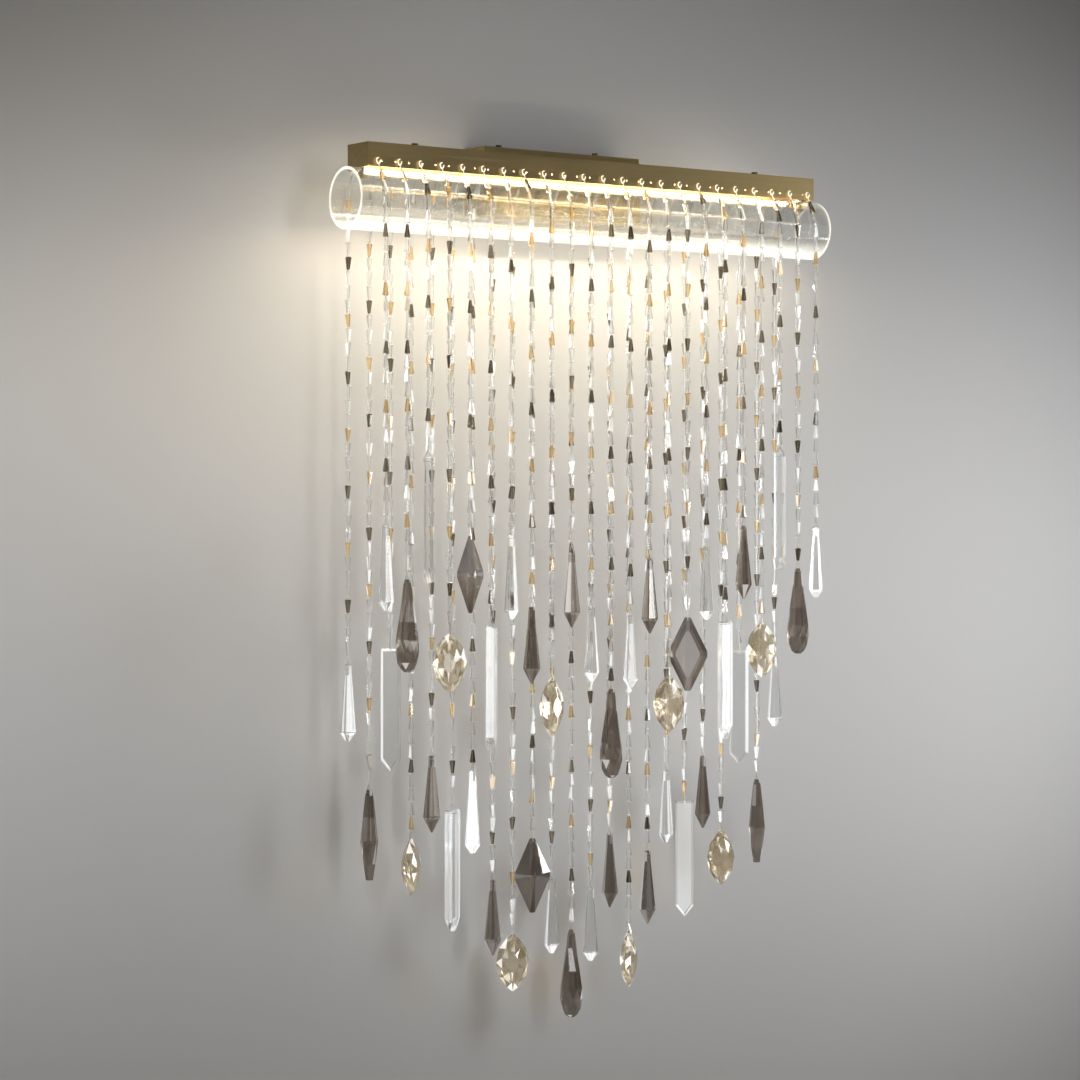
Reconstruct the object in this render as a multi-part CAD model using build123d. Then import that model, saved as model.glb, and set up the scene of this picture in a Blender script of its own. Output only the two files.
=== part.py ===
from build123d import *
import os
from math import acos, atan2, cos, degrees, hypot, sin

# Crystal wall sconce, in millimetres. The wall is the plane y = 0 and the viewer stands on the -Y side.
# The origin is the middle of the wall bracket's back face, x runs along the rail and z points up.

os.makedirs("parts", exist_ok=True)

# Driving dimensions.

# how far a cutting solid reaches past the face that it cuts
over = 1.0

# wall bracket: a folded steel plate screwed to the wall inside the canopy
plate_width = 192.0
plate_height = 60.0
plate_thick = 2.0
wall_hole_radius = 2.75
wall_hole_span_x = 178.0
wall_hole_span_z = 44.0
cable_window_width = 40.0
cable_window_height = 22.0
cable_window_z = 15.0
tab_width = 16.0
tab_depth = 18.0

# canopy: a brass box, open towards the wall
canopy_width = 210.0
canopy_height = 76.0
canopy_depth = 40.0
canopy_wall = 1.2

# thumb screws that hold the canopy on the bracket's tabs
canopy_screw_span = 131.0
canopy_screw_setback = 10.0
canopy_screw_radius = 1.5
canopy_screw_head_radius = 3.2
canopy_screw_head_height = 6.5

# light source driver on the bracket
driver_length = 92.0
driver_height = 26.0
driver_depth = 20.0
driver_ear = 10.0
driver_ear_thick = 2.0
driver_z = -18.0

# rail: a brass channel, open downwards, with closed ends
rail_length = 600.0
rail_depth = 40.0
rail_height = 25.0
rail_wall = 1.5
rail_gap = 72.0
rail_top = 22.0

# arms between bracket and rail
arm_plate_thick = 3.0
arm_height = 18.0
arm_lift = 5.0
arm_hook_gap = 2.5  # from the middle, counted in hook pitches, so that an arm stands between two hooks
arm_foot_width = 16.0
arm_foot_thick = 3.0
arm_slot_clearance = 0.6
frame_screw_radius = 1.5
frame_screw_head_radius = 2.3
frame_screw_head_height = 1.8
foot_screw_span = 9.6

# light strip: a circuit board on an aluminium bar under the rail's web
carrier_length = 574.0
carrier_width = 16.0
carrier_thick = 3.0
board_width = 10.0
board_thick = 1.0
led_count = 35
led_pitch = 16.667
led_size = 5.0
led_height = 1.6
carrier_screw_span = 459.0
carrier_screw_radius = 2.0
carrier_screw_head_radius = 3.5
carrier_screw_head_height = 4.5

# small holes in the rail's front face, one by each light source
peep_radius = 0.8
peep_lift = 6.0

# glass tube, bolted under the rail
tube_length = 630.0
tube_radius = 32.5
tube_wall = 3.0
knob_inset = 6.5
knob_radius = 6.0
knob_height = 8.0
knob_round = 3.6
stud_radius = 2.0
stud_reach = 12.0
stud_end_gap = 1.0
stud_clearance = 0.05
post_radius = 3.4
washer_radius = 4.2
washer_thick = 1.0
glass_hole_radius = 3.0

# hook pins along the rail's front and rear faces
hook_count = 23
hook_pitch = 26.28
hook_lift = 7.0
pin_radius = 0.8
pin_reach = 4.6
pin_tail = 1.6
pin_head_radius = 1.3
pin_head_thick = 0.8
ring_offset = 2.4

# a strand: a wire ring, a neck, tapering six-sided beads end to end, and a pendant on a wire bail
ring_radius = 2.3
wire_radius = 0.5
ring_play = 0.15
neck_length = 6.0
neck_play = 0.15
bead_pitch = 15.0
bead_wide = 3.4
bead_narrow = 1.7
bead_sides = 6
knot_radius = 0.8
bead_tube_gap = 0.6
bail_height = 8.0
bail_play = 0.6
eye_radius = 0.9
eye_drop = 4.0

# pendants: a profile is a list of (share of the full radius, share of the length) from the top down
stone_top = 12.0
stone_sides = 8
drop_length = 81.0
long_drop_length = 89.0
drop_radius = 8.2
drop_top_radius = 3.9
drop_foot = 9.0
drop_foot_radius = 2.2
smoke_drop_length = 82.0
smoke_drop_radius = 9.2
smoke_drop_foot = 16.5
smoke_drop_foot_radius = 0.9
teardrop_length = 96.0
teardrop_radius = 12.4
teardrop_profile = [(0.19, 0), (0.34, 0.05), (0.48, 0.21), (0.68, 0.385), (0.88, 0.54),
                    (1, 0.68), (0.97, 0.79), (0.76, 0.9), (0.45, 0.97), (0.18, 1)]
spindle_length = 95.0
spindle_radius = 9.4
spindle_profile = [(0.3, 0), (0.46, 0.06), (0.75, 0.32), (1, 0.58), (0.72, 0.82), (0.43, 1)]

# flat pendants: a table share is the size of the flat face in the middle against the whole outline
oval_length = 62.5
oval_width = 36.0
oval_thick = 17.0
oval_tip = 1.6
oval_table_share = 0.5
rhomb_length = 81.0
rhomb_width = 43.0
rhomb_thick = 13.0
rhomb_clip = 3.0
rhomb_table_share = 0.62
peaked_table_share = 0.1
bar_length = 130.0
bar_width = 21.0
bar_thick = 10.0
bar_point = 13.0
bar_bevel = 2.0

# Every strand from left to right: how far its pendant's top hangs below the hook pins, the pendant,
# the turn of a flat pendant about the vertical (0 faces the viewer), and whether its beads widen downwards.
front_strands = [
    (377, "long_drop", 0, True),
    (434, "teardrop", 0, True),
    (308, "bar", 56, True),
    (490, "oval", -34, False),
    (389, "peaked_rhomb", 16, True),
    (484, "bar", 42, True),
    (388, "long_drop", 0, True),
    (464, "smoke_drop", 0, True),
    (540, "oval", 11, True),
    (405, "smoke_drop", 0, False),
    (464, "drop", 0, True),
    (554, "teardrop", 0, True),
    (472, "drop", 0, True),
    (413, "smoke_drop", 0, True),
    (541, "oval", -18, True),
    (478, "rhomb", -38, False),
    (400, "drop", 0, True),
    (483, "bar", 22, True),
    (377, "smoke_drop", 0, True),
    (484, "oval", -18, True),
    (296, "bar", 37, True),
    (425, "teardrop", 0, False),
    (377, "drop", 0, True),
]
rear_strands = [
    (523, "drop", 0, False),
    (656, "spindle", 0, False),
    (508, "bar", 27, False),
    (709, "oval", -33, True),
    (623, "smoke_drop", 0, False),
    (682, "bar", -26, False),
    (641, "long_drop", 0, True),
    (760, "smoke_drop", 0, False),
    (820, "oval", 30, False),
    (718, "peaked_rhomb", 9, True),
    (764, "drop", 0, False),
    (821, "teardrop", 0, True),
    (776, "drop", 0, False),
    (718, "smoke_drop", 0, False),
    (828, "oval", -37, True),
    (740, "smoke_drop", 0, True),
    (651, "drop", 0, False),
    (687, "bar", 33, False),
    (637, "smoke_drop", 0, False),
    (722, "oval", 7, False),
    (519, "bar", 26, True),
    (667, "spindle", 0, False),
    (526, "drop", 0, False),
]

# Places that follow.
rail_rear = -rail_gap
rail_front = rail_rear - rail_depth
rail_mid = (rail_front + rail_rear) / 2
rail_bottom = rail_top - rail_height
web_under = rail_top - rail_wall
canopy_front = -canopy_depth
canopy_roof = canopy_height / 2
tab_top = canopy_roof - canopy_wall
tube_y = rail_mid
tube_z = rail_bottom - tube_radius
tube_inner = tube_radius - tube_wall
knob_x = rail_length / 2 - knob_inset
carrier_under = web_under - carrier_thick
board_under = carrier_under - board_thick
arm_x = arm_hook_gap * hook_pitch
arm_bottom = rail_bottom + arm_lift
pin_z = rail_bottom + hook_lift
bead_line = tube_radius + bead_wide + bead_tube_gap


def save(node, *solids):
    """Write the solids of one node, kept separate, to its own file."""
    shape = solids[0] if len(solids) == 1 else Compound(list(solids))
    export_step(shape, f"parts/{node}.step")


def block(x0, x1, y0, y1, z0, z1):
    """A box between two corners."""
    box = Box(abs(x1 - x0), abs(y1 - y0), abs(z1 - z0))
    return Pos((x0 + x1) / 2, (y0 + y1) / 2, (z0 + z1) / 2) * box


def rod_y(x, z, radius, y0, y1):
    """A cylinder along y between two places."""
    return Pos(x, (y0 + y1) / 2, z) * Rot(90, 0, 0) * Cylinder(radius, abs(y1 - y0))


def rod_z(x, y, radius, z0, z1):
    """A cylinder along z between two heights."""
    return Pos(x, y, (z0 + z1) / 2) * Cylinder(radius, abs(z1 - z0))


def both_sides(x):
    """The same place to the left and to the right of the middle."""
    return (-x, x)


# Wall side.
def wall_bracket():
    """Plate with four wall holes, a cable window and two folded tabs under the canopy's roof."""
    plate = block(-plate_width / 2, plate_width / 2, -plate_thick, 0, -plate_height / 2, plate_height / 2)
    for x in both_sides(canopy_screw_span / 2):
        x0 = x - tab_width / 2
        x1 = x + tab_width / 2
        plate += block(x0, x1, -plate_thick, 0, 0, tab_top)
        plate += block(x0, x1, -tab_depth, 0, tab_top - plate_thick, tab_top)
        low = tab_top - 2 * plate_thick
        plate -= rod_z(x, -canopy_screw_setback, canopy_screw_radius, low, tab_top + over)
    for x in both_sides(wall_hole_span_x / 2):
        for z in both_sides(wall_hole_span_z / 2):
            plate -= rod_y(x, z, wall_hole_radius, -2 * plate_thick, plate_thick)
    z0 = cable_window_z - cable_window_height / 2
    z1 = cable_window_z + cable_window_height / 2
    plate -= block(-cable_window_width / 2, cable_window_width / 2, -2 * plate_thick, plate_thick, z0, z1)
    for x in foot_screw_places():
        plate -= rod_y(x, arm_mid_z(), frame_screw_radius, -2 * plate_thick, plate_thick)
    for x in driver_screw_places():
        plate -= rod_y(x, driver_z, frame_screw_radius, -2 * plate_thick, plate_thick)
    return plate


def canopy():
    """Brass box without a back, slotted for the arms and drilled for its two screws."""
    half = canopy_width / 2
    shell = block(-half, half, canopy_front, 0, -canopy_roof, canopy_roof)
    inner_half = half - canopy_wall
    inner_roof = canopy_roof - canopy_wall
    shell -= block(-inner_half, inner_half, canopy_front + canopy_wall, over, -inner_roof, inner_roof)
    gap = arm_slot_clearance
    for x in both_sides(arm_x):
        x0 = x - arm_plate_thick / 2 - gap
        x1 = x + arm_plate_thick / 2 + gap
        z0 = arm_bottom - gap
        z1 = arm_bottom + arm_height + gap
        shell -= block(x0, x1, canopy_front - over, canopy_front + 2 * canopy_wall, z0, z1)
    for x in both_sides(canopy_screw_span / 2):
        shell -= rod_z(x, -canopy_screw_setback, canopy_screw_radius, tab_top - over, canopy_roof + over)
    return shell


def canopy_screws():
    """Two thumb screws through the canopy's roof into the bracket's tabs."""
    screws = []
    for x in both_sides(canopy_screw_span / 2):
        y = -canopy_screw_setback
        head = rod_z(x, y, canopy_screw_head_radius, canopy_roof, canopy_roof + canopy_screw_head_height)
        shank = rod_z(x, y, canopy_screw_radius, tab_top - plate_thick, canopy_roof)
        screws.append((head + shank).solid())
    return screws


def driver_screw_places():
    """Where the driver's ears are screwed to the bracket."""
    return both_sides(driver_length / 2 + driver_ear / 2)


def led_driver():
    """Closed box with an ear at each end."""
    y_back = -plate_thick
    z0 = driver_z - driver_height / 2
    z1 = driver_z + driver_height / 2
    half = driver_length / 2
    box = block(-half, half, y_back - driver_depth, y_back, z0, z1)
    box += block(-half - driver_ear, half + driver_ear, y_back - driver_ear_thick, y_back, z0, z1)
    for x in driver_screw_places():
        box -= rod_y(x, driver_z, frame_screw_radius, y_back - driver_depth, y_back + over)
    return box


def arm_mid_z():
    """Height of the middle of an arm."""
    return arm_bottom + arm_height / 2


def foot_screw_places():
    """Where the feet of both arms are screwed on."""
    return [x + side for x in both_sides(arm_x) for side in both_sides(foot_screw_span / 2)]


def support_arms():
    """Two upright plates from the bracket through the canopy to the rail, with a foot at each end."""
    arms = []
    z0 = arm_bottom
    z1 = arm_bottom + arm_height
    y_back = -plate_thick
    for x in both_sides(arm_x):
        half = arm_plate_thick / 2
        foot = arm_foot_width / 2
        arm = block(x - half, x + half, rail_rear, y_back, z0, z1)
        arm += block(x - foot, x + foot, y_back - arm_foot_thick, y_back, z0, z1)
        arm += block(x - foot, x + foot, rail_rear, rail_rear + arm_foot_thick, z0, z1)
        for hole_x in (x - foot_screw_span / 2, x + foot_screw_span / 2):
            for foot_y in (y_back - arm_foot_thick, rail_rear):
                y0 = foot_y - over
                y1 = foot_y + arm_foot_thick + over
                arm -= rod_y(hole_x, arm_mid_z(), frame_screw_radius, y0, y1)
        arms.append(arm.solid())
    return arms


def frame_screw(x, z, seat, sink):
    """A pan head on the seat, with its shank running from the seat to the sink, both along y."""
    away = frame_screw_head_height if seat > sink else -frame_screw_head_height
    head = rod_y(x, z, frame_screw_head_radius, seat, seat + away)
    return (head + rod_y(x, z, frame_screw_radius, sink, seat)).solid()


def frame_screws():
    """Screws of the arms' feet, on the bracket and on the rail, and of the driver's ears."""
    screws = []
    for x in foot_screw_places():
        bracket_seat = -plate_thick - arm_foot_thick
        screws.append(frame_screw(x, arm_mid_z(), bracket_seat, 0))
        rail_seat = rail_rear + arm_foot_thick
        screws.append(frame_screw(x, arm_mid_z(), rail_seat, rail_seat - arm_foot_thick - rail_wall))
    for x in driver_screw_places():
        screws.append(frame_screw(x, driver_z, -plate_thick - driver_ear_thick, 0))
    return screws


# Rail and light strip.
def hook_places():
    """Where the hooks stand along the rail, from left to right."""
    middle = (hook_count - 1) / 2
    return [(i - middle) * hook_pitch for i in range(hook_count)]


def led_places():
    """Where the light sources stand along the board."""
    middle = (led_count - 1) / 2
    return [(i - middle) * led_pitch for i in range(led_count)]


def rail():
    """Channel with closed ends, brazed tube posts, and holes for pins, screws and light."""
    half = rail_length / 2
    shell = block(-half, half, rail_front, rail_rear, rail_bottom, rail_top)
    wall = rail_wall
    y0 = rail_front + wall
    y1 = rail_rear - wall
    shell -= block(-half + wall, half - wall, y0, y1, rail_bottom - over, web_under)
    post_end = rail_bottom + washer_thick
    for x in both_sides(knob_x):
        shell += rod_z(x, rail_mid, post_radius, post_end, web_under)
        bore_top = post_end + stud_reach
        shell -= rod_z(x, rail_mid, stud_radius + stud_clearance, post_end - over, bore_top)
    for x in both_sides(carrier_screw_span / 2):
        shell -= rod_z(x, rail_mid, carrier_screw_radius, web_under - over, rail_top + over)
    for x in foot_screw_places():
        shell -= rod_y(x, arm_mid_z(), frame_screw_radius, rail_rear - 2 * wall, rail_rear + over)
    pin_holes = [rod_y(x, pin_z, pin_radius, rail_front - over, rail_rear + over) for x in hook_places()]
    peep_z = rail_bottom + peep_lift
    peeps = [rod_y(x, peep_z, peep_radius, rail_front - over, rail_front + 2 * wall) for x in led_places()
             if min(abs(x - hook) for hook in hook_places()) > 3 * peep_radius]
    return shell - pin_holes - peeps


def hook_pins():
    """Headed pins pressed through the front and rear faces of the rail."""
    pins = []
    for face, out in ((rail_front, -1), (rail_rear, 1)):
        for x in hook_places():
            tail = face - out * (rail_wall + pin_tail)
            tip = face + out * pin_reach
            shank = rod_y(x, pin_z, pin_radius, tail, tip)
            head = rod_y(x, pin_z, pin_head_radius, tip - out * pin_head_thick, tip)
            pins.append((shank + head).solid())
    return pins


def led_carrier():
    """Aluminium bar under the rail's web."""
    half = carrier_length / 2
    y0 = rail_mid - carrier_width / 2
    y1 = rail_mid + carrier_width / 2
    bar = block(-half, half, y0, y1, carrier_under, web_under)
    for x in both_sides(carrier_screw_span / 2):
        bar -= rod_z(x, rail_mid, carrier_screw_radius, carrier_under - over, web_under + over)
    return bar


def led_strip():
    """Circuit board and its row of light sources."""
    half = carrier_length / 2
    y0 = rail_mid - board_width / 2
    y1 = rail_mid + board_width / 2
    pieces = [block(-half, half, y0, y1, board_under, carrier_under)]
    size = led_size / 2
    for x in led_places():
        z0 = board_under - led_height
        pieces.append(block(x - size, x + size, rail_mid - size, rail_mid + size, z0, board_under))
    return [piece.solid() for piece in pieces]


def carrier_screws():
    """Two knurled screws down through the rail's web into the bar."""
    screws = []
    for x in both_sides(carrier_screw_span / 2):
        top = rail_top + carrier_screw_head_height
        head = rod_z(x, rail_mid, carrier_screw_head_radius, rail_top, top)
        shank = rod_z(x, rail_mid, carrier_screw_radius, carrier_under, rail_top)
        screws.append((head + shank).solid())
    return screws


# Glass tube.
def rod_x(radius, length):
    """A cylinder along x on the tube's axis."""
    return Pos(0, tube_y, tube_z) * Rot(0, 90, 0) * Cylinder(radius, length)


def glass_tube():
    """Clear tube, open at both ends, with one bolt hole near each end."""
    tube = rod_x(tube_radius, tube_length) - rod_x(tube_inner, tube_length + 2)
    for x in both_sides(knob_x):
        tube -= rod_z(x, tube_y, glass_hole_radius, tube_z + tube_inner - 2 * over, rail_bottom + over)
    return tube


def knob_top():
    """Height of the knobs' upper face, under the lower washers."""
    return tube_z + tube_inner - washer_thick


def tube_knobs():
    """Round brass knobs inside the tube, each with a stud up into its post."""
    knobs = []
    top = knob_top()
    for x in both_sides(knob_x):
        body = rod_z(x, tube_y, knob_radius, top - knob_height, top)
        body = fillet(body.edges().sort_by(Axis.Z)[0], knob_round)
        stud_end = rail_bottom + washer_thick + stud_reach - stud_end_gap
        body += rod_z(x, tube_y, stud_radius, top - over, stud_end)
        knobs.append(body.solid())
    return knobs


def tube_washers():
    """Soft washers above and below the glass, shaped to its curve."""
    washers = []
    for x in both_sides(knob_x):
        bore = rod_z(x, tube_y, stud_radius, knob_top() - over, rail_bottom + 2 * washer_thick)
        upper = rod_z(x, tube_y, washer_radius, rail_bottom - washer_thick, rail_bottom + washer_thick)
        upper = upper - rod_x(tube_radius, tube_length) - bore
        lower = rod_z(x, tube_y, washer_radius, knob_top(), tube_z + tube_inner)
        lower = (lower & rod_x(tube_inner, tube_length)) - bore
        washers.append(upper.solid())
        washers.append(lower.solid())
    return washers


# Strands.
def strand_path():
    """Side view of a front strand from the bottom of its ring: a straight run, then an arc round the tube.

    Gives the start (towards the tube's axis, above it), the run's length and the arc's angle in radians.
    """
    out = tube_y - (rail_front - ring_offset)
    start_z = pin_z + pin_radius + ring_play + wire_radius - 2 * ring_radius - wire_radius
    up = start_z - tube_z
    reach = hypot(out, up)
    arc = atan2(up, out) - acos(bead_line / reach)
    run = (reach**2 - bead_line**2) ** 0.5
    return out, up, run, arc


def path_point(distance):
    """Point on the strand's line, as distance out from the tube's axis and height above it."""
    out, up, run, arc = strand_path()
    touch_out = bead_line * cos(arc)
    touch_up = bead_line * sin(arc)
    if distance < run:
        share = distance / run
        return out + (touch_out - out) * share, up + (touch_up - up) * share
    if distance < run + bead_line * arc:
        angle = arc - (distance - run) / bead_line
        return bead_line * cos(angle), bead_line * sin(angle)
    return bead_line, -(distance - run - bead_line * arc)


def bent_length():
    """Length of the strand's line from its ring to where it starts to hang straight."""
    run, arc = strand_path()[2:]
    return run + bead_line * arc


def prism(radii_and_drops, sides):
    """Straight-sided solid through regular sections hung one below the other."""
    sections = []
    for radius, drop in reversed(radii_and_drops):
        section = Plane.XY.offset(-drop) * RegularPolygon(radius, sides)
        sections.append(section.face())
    return loft(sections, ruled=True).solid()


def slab(outline, width_share, thick):
    """Flat stone: an outline in the xz plane that narrows to a share of its size towards both faces."""
    half = thick / 2
    middle = (max(z for x, z in outline) + min(z for x, z in outline)) / 2
    faces = []
    for y, share in ((-half, width_share), (0, 1.0), (half, width_share)):
        corners = [(x * share, y, middle + (z - middle) * share) for x, z in outline]
        faces.append(make_face(Polyline(*corners, close=True)).face())
    return loft(faces, ruled=True).solid()


def drop_stone(length, radius, foot, foot_radius):
    """Icicle drop: a slim bevelled top, a body that widens evenly to a shoulder, and a tapering foot."""
    top = drop_top_radius
    shape = [(top * 0.65, 0), (top * 0.92, stone_top / 8), (top, stone_top)]
    shape += [(radius, length - foot), (foot_radius, length)]
    return prism(shape, stone_sides)


def profile_stone(length, radius, profile):
    """Faceted stone that follows a profile of shares."""
    return prism([(radius * wide, length * deep) for wide, deep in profile], stone_sides)


def oval_stone():
    """Flat pointed oval whose sides are two arcs of a circle."""
    half_width = oval_width / 2
    half_length = oval_length / 2
    side_radius = (half_length**2 + half_width**2) / (2 * half_width)
    heights = [half_length * share for share in (1, 0.8, 0.5, 0.17, -0.17, -0.5, -0.8, -1)]
    widths = [(side_radius**2 - z**2) ** 0.5 - side_radius + half_width for z in heights]
    right = [(max(x, oval_tip), z - half_length) for x, z in zip(widths, heights)]
    left = [(-x, z) for x, z in reversed(right)]
    return slab(right + left, oval_table_share, oval_thick)


def rhomb_stone(table_share):
    """Flat rhombus with clipped points and a table of the given share."""
    half = rhomb_width / 2
    clip = rhomb_clip
    top = [(-clip, 0), (clip, 0)]
    side = [(half, -rhomb_length / 2 + clip), (half, -rhomb_length / 2 - clip)]
    foot = [(clip, -rhomb_length), (-clip, -rhomb_length)]
    other = [(-half, -rhomb_length / 2 - clip), (-half, -rhomb_length / 2 + clip)]
    return slab(top + side + foot + other, table_share, rhomb_thick)


def bar_stone():
    """Long flat bar with bevelled edges and a roof-shaped foot."""
    half = bar_width / 2
    shoulder = bar_point - bar_length
    corners = [(-half, 0), (half, 0), (half, shoulder), (0, -bar_length), (-half, shoulder)]
    outline = make_face(Plane.XZ * Polyline(*corners, close=True))
    body = extrude(outline, amount=bar_thick / 2, both=True)
    broad = body.faces().filter_by(Axis.Y)
    return chamfer(broad.edges(), bar_bevel).solid()


def slab_eye_reach(length, thick, table_share):
    """Half the thickness of a flat stone where it is drilled."""
    return min(1, 2 * eye_drop / length / (1 - table_share)) * thick / 2


# each stone and how far it reaches to the front at its drilled eye
smoke_drop = drop_stone(smoke_drop_length, smoke_drop_radius, smoke_drop_foot, smoke_drop_foot_radius)
rhomb_reach = slab_eye_reach(rhomb_length, rhomb_thick, rhomb_table_share)
peaked_reach = slab_eye_reach(rhomb_length, rhomb_thick, peaked_table_share)
stones = {
    "drop": (drop_stone(drop_length, drop_radius, drop_foot, drop_foot_radius), drop_top_radius),
    "long_drop": (drop_stone(long_drop_length, drop_radius, drop_foot, drop_foot_radius), drop_top_radius),
    "smoke_drop": (smoke_drop, drop_top_radius),
    "teardrop": (profile_stone(teardrop_length, teardrop_radius, teardrop_profile), teardrop_radius * 0.36),
    "spindle": (profile_stone(spindle_length, spindle_radius, spindle_profile), spindle_radius * 0.48),
    "oval": (oval_stone(), slab_eye_reach(oval_length, oval_thick, oval_table_share)),
    "rhomb": (rhomb_stone(rhomb_table_share), rhomb_reach),
    "peaked_rhomb": (rhomb_stone(peaked_table_share), peaked_reach),
    "bar": (bar_stone(), bar_thick / 2),
}


def pendant(kind):
    """A stone drilled near its top, and the wire bail that carries it. The bail's top is at the origin."""
    cut_stone, half_thick = stones[kind]
    eye_z = -bail_height - eye_drop
    stone = Pos(0, 0, -bail_height) * cut_stone
    stone -= rod_y(0, eye_z, eye_radius, -oval_thick, oval_thick)
    pin_height = eye_z + eye_radius - wire_radius
    foot = half_thick + bail_play + wire_radius
    bail = rod_y(0, pin_height, wire_radius, -foot, foot)
    length = hypot(foot, pin_height)
    tilt = degrees(atan2(foot, -pin_height))
    for side in (-1, 1):
        leg = Pos(0, 0, -length / 2) * Box(2 * wire_radius, 2 * wire_radius, length)
        bail += Rot(side * tilt, 0, 0) * leg
    bail -= block(-oval_thick, oval_thick, -oval_thick, oval_thick, 0, oval_thick)
    return [stone.solid(), bail.solid()]


def stick(start, end, x, shape):
    """Place a shape, modelled hanging from the origin, with its top at the start and pointing at the end."""
    tilt = degrees(atan2(end[0] - start[0], start[1] - end[1]))
    return Pos(x, -start[0], start[1]) * Rot(-tilt, 0, 0) * shape


def strand(x, side, hang, kind, turn, widens):
    """One strand on a pin: side is 1 in front of the tube and -1 behind it."""
    ring_z = pin_z + pin_radius + ring_play + wire_radius - ring_radius - tube_z
    ring_out = strand_path()[0]
    ring = Pos(x, -ring_out, ring_z) * Rot(90, 0, 0) * Torus(ring_radius, wire_radius)
    eye_top = bent_length() + tube_z + hang - pin_z
    count = round((eye_top - bail_height - neck_length) / bead_pitch)
    pitch = (eye_top - bail_height - neck_length) / count
    pieces = [ring]
    neck_end = neck_length - knot_radius
    neck_box = Box(2 * wire_radius, 2 * wire_radius, neck_end - neck_play)
    neck = Pos(0, 0, -(neck_play + neck_end) / 2) * neck_box
    pieces.append(stick(path_point(0), path_point(neck_end), x, neck))
    top_radius, foot_radius = (bead_narrow, bead_wide) if widens else (bead_wide, bead_narrow)
    whole = prism([(top_radius, 0), (foot_radius, pitch)], bead_sides)
    bent_count = int((bent_length() - neck_length) / pitch) + 2
    for i in range(count):
        start = path_point(neck_length + i * pitch)
        end = path_point(neck_length + (i + 1) * pitch)
        if i >= bent_count:
            pieces.append(stick(start, end, x, whole))
            continue
        reach = hypot(end[0] - start[0], end[1] - start[1])
        low = reach - knot_radius if i < bent_count - 1 else reach
        cut_bead = prism([(top_radius, knot_radius), (foot_radius, low)], bead_sides)
        pieces.append(stick(start, end, x, cut_bead))
        pieces.append(Pos(x, -start[0], start[1]) * Sphere(knot_radius))
    foot = path_point(neck_length + count * pitch)
    for piece in pendant(kind):
        pieces.append(Pos(x, -foot[0], foot[1]) * Rot(0, 0, side * turn) * piece)
    placed = [Pos(0, tube_y, tube_z) * piece for piece in pieces]
    if side < 0:
        placed = [mirror(Pos(0, -tube_y, 0) * piece, Plane.XZ) for piece in placed]
        placed = [Pos(0, tube_y, 0) * piece for piece in placed]
    return [piece.solid() for piece in placed]


# Write every node.
save("wall_bracket", wall_bracket())
save("canopy", canopy())
save("canopy_screws", *canopy_screws())
save("led_driver", led_driver())
save("support_arms", *support_arms())
save("frame_screws", *frame_screws())
save("rail", rail())
save("hook_pins", *hook_pins())
save("led_carrier", led_carrier())
save("led_strip", *led_strip())
save("carrier_screws", *carrier_screws())
save("glass_tube", glass_tube())
save("tube_knobs", *tube_knobs())
save("tube_washers", *tube_washers())
for row, side, strands in (("front", 1, front_strands), ("rear", -1, rear_strands)):
    for number, (x, spec) in enumerate(zip(hook_places(), strands), start=1):
        save(f"{row}_strand_{number:02d}", *strand(x, side, *spec))
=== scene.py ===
import bpy
import numpy as np
from math import acos, atan2, cos, hypot, pi, radians, sin
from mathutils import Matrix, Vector


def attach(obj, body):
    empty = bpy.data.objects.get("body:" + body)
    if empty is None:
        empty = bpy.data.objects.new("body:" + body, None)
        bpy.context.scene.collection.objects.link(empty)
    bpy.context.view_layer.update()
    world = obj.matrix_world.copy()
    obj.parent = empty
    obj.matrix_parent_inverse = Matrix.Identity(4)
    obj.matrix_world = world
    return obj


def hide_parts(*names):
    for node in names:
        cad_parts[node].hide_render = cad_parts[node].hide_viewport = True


# Crystal wall sconce, in metres. The wall is y = 0, the viewer stands on the -Y side, z points up.
# Brass, glass tube, bracket and screws are the CAD's own solids with new finishes. Each strand is made again,
# bead by bead, at the place of its CAD solid.

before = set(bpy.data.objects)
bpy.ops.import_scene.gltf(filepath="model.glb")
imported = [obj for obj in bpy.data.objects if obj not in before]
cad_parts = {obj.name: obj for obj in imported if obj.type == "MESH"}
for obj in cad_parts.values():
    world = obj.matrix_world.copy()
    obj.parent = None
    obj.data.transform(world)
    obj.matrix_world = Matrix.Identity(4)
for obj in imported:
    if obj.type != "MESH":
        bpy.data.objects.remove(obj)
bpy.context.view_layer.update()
print("frame loaded:", len(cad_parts), "nodes")

black = (0.0, 0.0, 0.0)


class Wire:
    # a value inside a material: sums, differences, products and comparisons of wires add Math nodes
    def __init__(self, finish, socket):
        self.finish = finish
        self.socket = socket

    def math(self, operation, first, second=0.0, clamp=False):
        settings = {"operation": operation, "use_clamp": clamp}
        return self.finish.node("ShaderNodeMath", settings, {0: first, 1: second})

    def __add__(self, other):
        return self.math("ADD", self, other)

    def __radd__(self, other):
        return self.math("ADD", other, self)

    def __sub__(self, other):
        return self.math("SUBTRACT", self, other)

    def __rsub__(self, other):
        return self.math("SUBTRACT", other, self)

    def __mul__(self, other):
        return self.math("MULTIPLY", self, other)

    def __rmul__(self, other):
        return self.math("MULTIPLY", other, self)

    def __gt__(self, other):
        return self.math("GREATER_THAN", self, other)

    def __lt__(self, other):
        return self.math("LESS_THAN", self, other)

    def __abs__(self):
        return self.math("ABSOLUTE", self)

    def clamped(self):
        return self.math("ADD", self, 0.0, clamp=True)

    def ramp(self, low, high):
        # 0 up to low, 1 from high on, straight between them
        values = {0: self, 1: low, 2: high, 3: 0.0, 4: 1.0}
        return self.finish.node("ShaderNodeMapRange", {"clamp": True}, values)


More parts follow.
